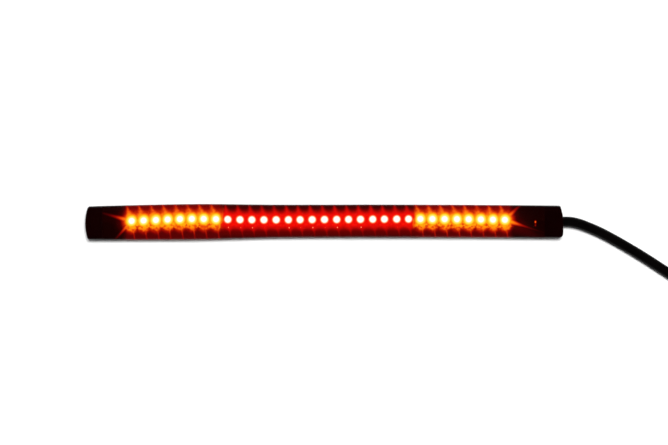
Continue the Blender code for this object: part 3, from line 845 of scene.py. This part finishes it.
def make_board():
    bm = bmesh.new()
    rings = []
    for x in evenly(BOARD_LOW.x, BOARD_HIGH.x, BOARD_STEP):
        low, high = read_along(BOARD_LINE, x)
        edge = 0.08 * MM
        ring = [(low, BOARD_LOW.z), (low, BOARD_HIGH.z - edge), (low + edge, BOARD_HIGH.z)]
        ring += [(high - edge, BOARD_HIGH.z), (high, BOARD_HIGH.z - edge), (high, BOARD_LOW.z)]
        rings.append([bm.verts.new((x, y, z)) for y, z in ring])
    for near, far in zip(rings, rings[1:]):
        for i in range(len(near)):
            j = (i + 1) % len(near)
            bm.faces.new((near[i], near[j], far[j], far[i]))
    bm.faces.new(rings[0])
    bm.faces.new(rings[-1])
    foot = BOARD_HIGH.z
    for name in (*LIGHT_NAMES, *(f"resistor_{i}" for i in range(1, 9)), "polarity_diode"):
        low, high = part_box(name)
        reach = (high.y - low.y) * 0.8
        for x in (low.x - 0.05 * MM, high.x + 0.05 * MM):
            add_solder(bm, (x, (low.y + high.y) / 2, foot), (0.75 * MM, reach, 0.34 * MM))
    for name in CORE_NAMES:
        x, y = core_tip(name)
        add_solder(bm, (x + 0.1 * MM, y, foot), (1.7 * MM, 0.95 * MM, 0.75 * MM))
    return mesh_piece("board", bm, [board_finish(), SOLDER])


def store_count(made):
    """The count of lights and the distance off the row, on a flat piece."""
    mesh = made.data
    count = mesh.attributes.new("count", "FLOAT", "POINT")
    off_row = mesh.attributes.new("off_row", "FLOAT", "POINT")
    for vertex in mesh.vertices:
        x = min(max(vertex.co.x, BOARD_LOW.x), BOARD_HIGH.x)
        count.data[vertex.index].value = light_count(x)
        off_row.data[vertex.index].value = (vertex.co.y - row_line(x)) / MM


board = make_board()
store_count(board)
stands_for(board, "board_mask", "flex_board")
print("board:", len(board.data.polygons), "faces")

# %% [markdown]
# A light source is a white housing of 3.5 by 2.8 mm with a round cup. The die sits on the floor of
# the cup under a drop of clear gel, and a tinned plate at each end goes down to the board. One corner
# is cut to mark the cathode. The gel is what shines, so it gets the emission. All packages of one
# colour share a mesh, but each is a piece of its own.

# %% The light sources
RING_POINTS = 24


def squircle(half_x, half_y, z, cut=0.0):
    """A ring of points on a rectangle, as seen from the middle at even angles, with one cut corner."""
    ring = []
    for i in range(RING_POINTS):
        turn = 2 * math.pi * (i + 0.5) / RING_POINTS
        way = Vector((math.cos(turn), math.sin(turn)))
        reach = min(half_x / max(abs(way.x), 1e-6), half_y / max(abs(way.y), 1e-6))
        if cut and way.x > 0 and way.y > 0:
            reach = min(reach, (half_x + half_y - cut) / (way.x + way.y))
        ring.append((way.x * reach, way.y * reach, z))
    return ring


def package_mesh(name, glow):
    low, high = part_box(LIGHT_NAMES[0])
    half_x, half_y, height = (high.x - low.x) / 2, (high.y - low.y) / 2, high.z - low.z
    cut, round_edge = 0.5 * MM, 0.07 * MM
    cup, floor_radius, depth = 1.2 * MM, 0.85 * MM, 0.8 * MM
    bm = bmesh.new()
    outline = [(0.12, 0.05 * MM, 0.1 * MM), (0.0, 0.0, 0.5 * height), (0.1, 0.0, height - round_edge),
               (0.1, round_edge, height)]
    rings = [squircle(half_x - lean * MM - inset, half_y - lean * MM - inset, z, cut)
             for lean, inset, z in outline]
    for radius, z in ((cup + 0.06 * MM, height), (cup, height - 0.06 * MM), (floor_radius, height - depth)):
        turns = [2 * math.pi * (i + 0.5) / RING_POINTS for i in range(RING_POINTS)]
        rings.append([(radius * math.cos(t), radius * math.sin(t), z) for t in turns])
    loops = [[bm.verts.new(point) for point in ring] for ring in rings]
    for near, far in zip(loops, loops[1:]):
        for i in range(RING_POINTS):
            j = (i + 1) % RING_POINTS
            bm.faces.new((near[i], near[j], far[j], far[i]))
    bm.faces.new(loops[0])
    bm.faces.new(loops[-1])
    gel = bmesh.ops.create_uvsphere(bm, u_segments=24, v_segments=8, radius=cup * 0.985)["verts"]
    for vertex in gel:
        squash = 0.12 if vertex.co.z > 0 else 0.3
        vertex.co.z = vertex.co.z * squash + height - 0.18 * MM
    for face in {face for vertex in gel for face in vertex.link_faces}:
        face.material_index = 1
    for side in (-1, 1):
        near, far = sorted((side * (half_x - 0.35 * MM), side * half_x))
        add_block(bm, (near, -half_y * 0.78, -0.28 * MM), (far, half_y * 0.78, 0.5 * MM), 2, 0.04 * MM)
    made = mesh_piece(name, bm, [WHITE_HOUSING, glow, SOLDER])
    mesh = made.data
    bpy.data.objects.remove(made)
    return mesh


def gel_finish(name, centre, rim):
    """Glowing gel, nearly white over the die and deeper in colour at the rim of the cup."""
    made, tree, shader = new_material(name)
    place = tree.nodes.new("ShaderNodeTexCoord")
    split = tree.nodes.new("ShaderNodeSeparateXYZ")
    tree.links.new(place.outputs["Object"], split.inputs["Vector"])
    x, y = Signal(tree, split.outputs["X"]), Signal(tree, split.outputs["Y"])
    out = (x * x + y * y).math("SQRT") / (1.2 * MM)
    tree.links.new(out.colours([(0, centre), (0.6, centre), (1, rim)]), shader.inputs["Emission Color"])
    shader.inputs["Emission Strength"].default_value = 1.5
    shader.inputs["Base Color"].default_value = (0.8, 0.7, 0.5, 1)
    shader.inputs["Roughness"].default_value = 0.2
    return made


def place_lights():
    meshes = {
        "amber": package_mesh("amber_package", gel_finish("amber_gel", (1, 0.8, 0.35), (1, 0.33, 0.02))),
        "red": package_mesh("red_package", gel_finish("red_gel", (1, 0.45, 0.25), (1, 0.02, 0.005))),
    }
    for name, spot in zip(LIGHT_NAMES, LIGHTS):
        colour = "red" if "red" in name else "amber"
        made = bpy.data.objects.new(name.replace("led_", "light_"), meshes[colour])
        bpy.context.scene.collection.objects.link(made)
        made.location = (spot.x, spot.y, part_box(name)[0].z)
        stands_for(made, f"{colour}_package", name)


place_lights()
print("light sources:", len(LIGHTS), "sharing 2 meshes")

# %% [markdown]
# Each string of four lights has its resistor, a ceramic chip with a black glaze on top and tinned
# ends. The diode at the cable's end keeps a reversed supply out. It is a black moulding with a pale
# band at its cathode and a lead that folds under at each end.

# %% Resistors and diode
def resistor_mesh():
    low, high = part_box("resistor_1")
    x, y, z = (high - low) / 2
    bm = bmesh.new()
    inside = x - 0.42 * MM
    add_block(bm, (-inside, -y, -0.02 * MM), (inside, y, 1.75 * z), 0, 0.02 * MM)
    add_block(bm, (-inside, -y * 0.94, 1.75 * z), (inside, y * 0.94, 2 * z), 1, 0.03 * MM)
    for side in (-1, 1):
        near, far = sorted((side * inside, side * x))
        add_block(bm, (near, -y, -0.25 * MM), (far, y, 1.9 * z), 2, 0.08 * MM)
    made = mesh_piece("resistor", bm, [CERAMIC, BLACK_GLAZE, SOLDER])
    mesh = made.data
    bpy.data.objects.remove(made)
    return mesh


def place_resistors():
    mesh = resistor_mesh()
    for i in range(1, 9):
        low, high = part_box(f"resistor_{i}")
        made = bpy.data.objects.new(f"chip_resistor_{i}", mesh)
        bpy.context.scene.collection.objects.link(made)
        made.location = ((low.x + high.x) / 2, (low.y + high.y) / 2, low.z)
        stands_for(made, "resistor_body", f"resistor_{i}")


def make_diode():
    low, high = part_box("polarity_diode")
    x, y, z = (high - low) / 2
    bm = bmesh.new()
    lead = 0.35 * MM
    add_block(bm, (-x + lead, -y, 0.25 * MM), (x - lead, y, 2 * z), 0, 0.08 * MM, draft=0.16 * MM)
    band_low, band_high = (-x + 0.8 * MM, -y * 0.86, 2 * z - 0.05 * MM), (-x + 1.25 * MM, y * 0.86, 2 * z)
    add_block(bm, band_low, band_high, 1, 0.01 * MM)
    for side in (-1, 1):
        near, far = sorted((side * (x - lead), side * x))
        add_block(bm, (near, -y * 0.55, -0.2 * MM), (far, y * 0.55, 1.1 * z), 2, 0.06 * MM)
        inner, outer = sorted((side * (x - 1.1 * MM), side * (x - 0.1 * MM)))
        add_block(bm, (inner, -y * 0.55, -0.25 * MM), (outer, y * 0.55, -0.05 * MM), 2, 0.04 * MM)
    made = mesh_piece("reverse_diode", bm, [BLACK_MOULDING, CERAMIC, SOLDER])
    made.location = ((low.x + high.x) / 2, (low.y + high.y) / 2, low.z)
    stands_for(made, "diode_body", "polarity_diode")
    return made


place_resistors()
diode = make_diode()
print("diode at x =", round(diode.location.x, 4))

# %% [markdown]
# Both ends are closed by moulded rubber plugs, and the right one grips the cable. The solids have
# their exact outline but knife-sharp edges, which no moulding has. A copy of each is rebuilt as an
# even skin of tiny cells and then smoothed a little, which wears every edge round at once, also
# where bevels would clash at the mouth of the cable's bore.

# %% The end plugs
PLUG_CELL = 0.17 * MM
PLUG_SMOOTHING = 6


def softened(node, name, finish):
    made = bpy.data.objects.new(name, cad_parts[node].data.copy())
    bpy.context.scene.collection.objects.link(made)
    skin = made.modifiers.new("even_skin", "REMESH")
    skin.mode = "VOXEL"
    skin.voxel_size = PLUG_CELL
    worn = made.modifiers.new("worn_edges", "SMOOTH")
    worn.factor = 0.5
    worn.iterations = PLUG_SMOOTHING
    graph = bpy.context.evaluated_depsgraph_get()
    mesh = bpy.data.meshes.new_from_object(made.evaluated_get(graph))
    made.modifiers.clear()
    made.data = mesh
    mesh.name = name
    mesh.materials.clear()
    mesh.materials.append(finish)
    mesh.shade_smooth()
    return made


def plug_finish():
    made = moulded("end_rubber_smoked", (0.0032, 0.0001, 0.0002), (0.0052, 0.0002, 0.0003), 0.27, scale=900,
                   depth=0.004 * MM)
    made.node_tree.nodes["Principled BSDF"].inputs["Specular IOR Level"].default_value = 0.12
    return made


PLUG_FINISH = plug_finish()
for side in ("left", "right"):
    plug = softened(f"{side}_end_plug", f"{side}_end", PLUG_FINISH)
    stands_for(plug, "end_rubber", f"{side}_end_plug")
    print(plug.name, len(plug.data.polygons), "faces")

# %% [markdown]
# The bar is closed from below by a rubber strip, and a strip of foam tape under it sticks the bar
# down. Neither shows from above. The strips keep their solids, which have the right shape, and get
# a finish: fine lines along the rubber, where it was extruded, and open cells in the foam.

# %% Base strip and tape
def strip_finish():
    made, tree, shader = new_material("extruded_rubber")
    lines = grain(tree, 2600, detail=2, stretch=(0.02, 1, 1))
    tree.links.new(lines.colours([(0.3, (0.009, 0.009, 0.010)), (0.7, (0.018, 0.017, 0.018))]),
                   shader.inputs["Base Color"])
    tree.links.new(lines.table([(0.3, 0.6), (0.7, 0.78)]).source, shader.inputs["Roughness"])
    raise_surface(tree, shader, lines, 0.02 * MM)
    return made


def foam_finish():
    made, tree, shader = new_material("closed_cell_foam")
    place = tree.nodes.new("ShaderNodeTexCoord")
    cells = tree.nodes.new("ShaderNodeTexVoronoi")
    cells.inputs["Scale"].default_value = 5000
    tree.links.new(place.outputs["Object"], cells.inputs["Vector"])
    wall = Signal(tree, cells.outputs["Distance"])
    tree.links.new(wall.colours([(0, (0.045, 0.045, 0.047)), (0.7, (0.022, 0.022, 0.024))]),
                   shader.inputs["Base Color"])
    shader.inputs["Roughness"].default_value = 0.92
    raise_surface(tree, shader, wall, 0.05 * MM)
    return made


def refinish(node, finish):
    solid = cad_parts[node]
    solid.data.materials.clear()
    solid.data.materials.append(finish)


refinish("base_strip", strip_finish())
refinish("adhesive_tape", foam_finish())
print("strips refinished")

# %% [markdown]
# Inside the right end the cable's five cores fan out to the board. Their solids are right, so they
# only get the finish of thin insulation: clear colour, slightly glossy, a little paler in soft
# patches. The same finish goes on the loose leads at the cable's other end.

# %% Insulated cores
INSULATION = {
    "black": (0.012, 0.012, 0.013),
    "red": (0.52, 0.012, 0.012),
    "blue": (0.012, 0.05, 0.42),
    "yellow": (0.74, 0.50, 0.02),
    "green": (0.012, 0.26, 0.05),
}


def insulation_finish(colour):
    red, green, blue = INSULATION[colour]
    pale = tuple(min(1, c * 1.25 + 0.01) for c in (red, green, blue))
    return moulded(f"insulation_{colour}", (red, green, blue), pale, 0.38, scale=1800, depth=0.004 * MM)


INSULATIONS = {colour: insulation_finish(colour) for colour in COLOURS}
for colour in COLOURS:
    refinish(f"core_{colour}", INSULATIONS[colour])
print("cores:", len(COLOURS))

# %% [markdown]
# At its far end the jacket is stripped, and the five leads come out of it in a ring. They part, rise
# on to the top of the coil and lie along it, and each ends in a few millimetres of tinned strands.
# Each lead is a curve from its place in the ring to the place of its solid.

# %% The loose leads
LEAD_DIAMETER = 1.05 * MM
LEAD_SPREAD = 32  # degrees round the coil in which the leads part and rise
LEAD_STEP = 4
BARE_LENGTH = 5 * MM
STRAND_DIAMETER = 0.7 * MM
RING_RADIUS = 1.15 * MM
COIL_TOP = REST_Z + CABLE_DIAMETER * 2.5


def tie_lift(angle):
    off_tie = (angle - math.degrees(TIE_ANGLE) + 180) % 360 - 180
    return TIE_LIFT * math.exp(-((off_tie / TIE_REACH) ** 2))


def lead_line(place_in_row, colour):
    """Points from the end of the jacket to the end of the lead's solid."""
    spots = [v.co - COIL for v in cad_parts[f"lead_{colour}"].data.vertices]
    radius = sum(math.hypot(s.x, s.y) for s in spots) / len(spots)
    start = CABLE_END_ANGLE % 360
    end = max((math.degrees(math.atan2(s.y, s.x)) - start) % 360 for s in spots)
    ring_turn = math.pi * (1 - place_in_row / (len(COLOURS) - 1) * 1.6 + 0.3)
    first_radius, first_z = turn_place(CABLE_END_ANGLE)
    out, up = RING_RADIUS * math.cos(ring_turn), RING_RADIUS * math.sin(ring_turn)
    points = []
    angle = -1.0
    while angle <= end:
        share = ease((angle - 3) / LEAD_SPREAD)
        r = (first_radius + out) * (1 - share) + radius * share
        z = (first_z + up) * (1 - share) + (COIL_TOP + LEAD_DIAMETER / 2 + tie_lift(start + angle)) * share
        turn = math.radians(start + angle)
        points.append(Vector((COIL.x + r * math.cos(turn), COIL.y + r * math.sin(turn), z)))
        angle += LEAD_STEP
    return points


def strand_finish():
    made, tree, shader = new_material("tinned_strands")
    shader.inputs["Metallic"].default_value = 1.0
    place = tree.nodes.new("ShaderNodeTexCoord")
    wave = tree.nodes.new("ShaderNodeTexWave")
    wave.inputs["Scale"].default_value = 900
    wave.inputs["Distortion"].default_value = 1.5
    wave.bands_direction = "DIAGONAL"
    tree.links.new(place.outputs["Object"], wave.inputs["Vector"])
    twist = Signal(tree, wave.outputs["Fac"])
    tree.links.new(twist.colours([(0, (0.45, 0.36, 0.28)), (1, (0.78, 0.74, 0.70))]),
                   shader.inputs["Base Color"])
    shader.inputs["Roughness"].default_value = 0.32
    raise_surface(tree, shader, twist, 0.05 * MM)
    return made


STRANDS = strand_finish()
CABLE_COMPANY = []
for place_in_row, colour in enumerate(COLOURS):
    line = lead_line(place_in_row, colour)
    stripped = len(line) - max(2, round(BARE_LENGTH / (line[-1] - line[-2]).length))
    jacket = INSULATIONS[colour]
    lead = wire(f"loose_lead_{colour}", line[: stripped + 1], LEAD_DIAMETER, jacket, roundness=5)
    stands_for(lead, f"wire_{colour}", f"lead_{colour}")
    tip = wire(f"bare_tip_{colour}", line[stripped:], STRAND_DIAMETER, STRANDS, roundness=5)
    stands_for(tip, f"wire_{colour}")
    CABLE_COMPANY += [lead, tip]
print("leads:", [piece.name for piece in CABLE_COMPANY])

# %% [markdown]
# A strap of hook-and-loop fabric holds the coil. It is one flat band laid round the bundle, with its
# tail pressed down over its own start. The band is lofted round the corners of the bundle as a
# spiral, so that the tail lies on top, and it has rounded ends. Its face is a mat of tiny loops.

# %% The coil's strap
BAND_THICKNESS = 0.5 * MM
BAND_HALF = 3.0 * MM
BAND_CORNER = 1.6 * MM
BAND_STEPS = 7
TAIL_LIFT = 0.52 * MM


def strap_path():
    """(out, height, normal) round the bundle, a little more than once, from the middle of its top."""
    half = CABLE_DIAMETER + 0.1 * MM
    low = 0.02 * MM + BAND_THICKNESS
    high = COIL_TOP + TIE_LIFT + LEAD_DIAMETER
    corners = ((half, high, 0), (half, low, -90), (-half, low, -180), (-half, high, -270), (half, high, -360))
    path = [(0.0, high, 90.0)]
    for out, height, first in corners:
        centre_out = out - math.copysign(BAND_CORNER, out)
        centre_height = height + (BAND_CORNER if height == low else -BAND_CORNER)
        for i in range(BAND_STEPS + 1):
            facing = first + 90 - 90 * i / BAND_STEPS
            turn = math.radians(facing)
            across, up = BAND_CORNER * math.cos(turn), BAND_CORNER * math.sin(turn)
            path.append((centre_out + across, centre_height + up, facing))
    path.append((half, high - 4.5 * MM, path[-1][2]))
    return path


def make_strap():
    out_way = Vector((math.cos(TIE_ANGLE), math.sin(TIE_ANGLE), 0))
    along = Vector((-math.sin(TIE_ANGLE), math.cos(TIE_ANGLE), 0))
    middle = Vector((COIL.x, COIL.y, 0)) + out_way * (OUTER_TURN - CABLE_DIAMETER / 2)
    path = strap_path()
    bm = bmesh.new()
    rings = []
    for i, (out, height, facing) in enumerate(path):
        share = i / (len(path) - 1)
        lift = TAIL_LIFT * ease((share - 0.72) / 0.1)
        normal = Vector((math.cos(math.radians(facing)), math.sin(math.radians(facing))))
        spot = Vector((out, height)) + normal * lift
        from_end = min(i, len(path) - 1 - i)
        half = BAND_HALF * (1 if from_end else 0.8)
        ring = []
        for side, depth in ((-1, 0), (-0.5, 0), (0.5, 0), (1, 0), (1, 1), (0.5, 1), (-0.5, 1), (-1, 1)):
            place = spot + normal * BAND_THICKNESS * depth
            corner = middle + out_way * place.x + along * half * side
            corner.z += place.y
            ring.append(bm.verts.new(corner))
        rings.append(ring)
    for near, far in zip(rings, rings[1:]):
        for i in range(len(near)):
            j = (i + 1) % len(near)
            bm.faces.new((near[i], near[j], far[j], far[i]))
    bm.faces.new(rings[0])
    bm.faces.new(rings[-1])
    return mesh_piece("coil_strap", bm, [strap_finish()], smooth=50)


def strap_finish():
    made, tree, shader = new_material("loop_fabric")
    place = tree.nodes.new("ShaderNodeTexCoord")
    loops = tree.nodes.new("ShaderNodeTexVoronoi")
    loops.inputs["Scale"].default_value = 3200
    tree.links.new(place.outputs["Object"], loops.inputs["Vector"])
    nap = Signal(tree, loops.outputs["Distance"])
    fuzz = grain(tree, 2400, detail=4)
    height = nap + fuzz * 0.7
    tree.links.new(height.colours([(0.2, (0.006, 0.006, 0.007)), (1.1, (0.035, 0.035, 0.038))]),
                   shader.inputs["Base Color"])
    shader.inputs["Roughness"].default_value = 0.95
    shader.inputs["Sheen Weight"].default_value = 0.12
    raise_surface(tree, shader, height, 0.12 * MM)
    return made


strap = make_strap()
stands_for(strap, "tie_fabric", "coil_tie")
CABLE_COMPANY.append(strap)
print("strap:", len(strap.data.polygons), "faces")
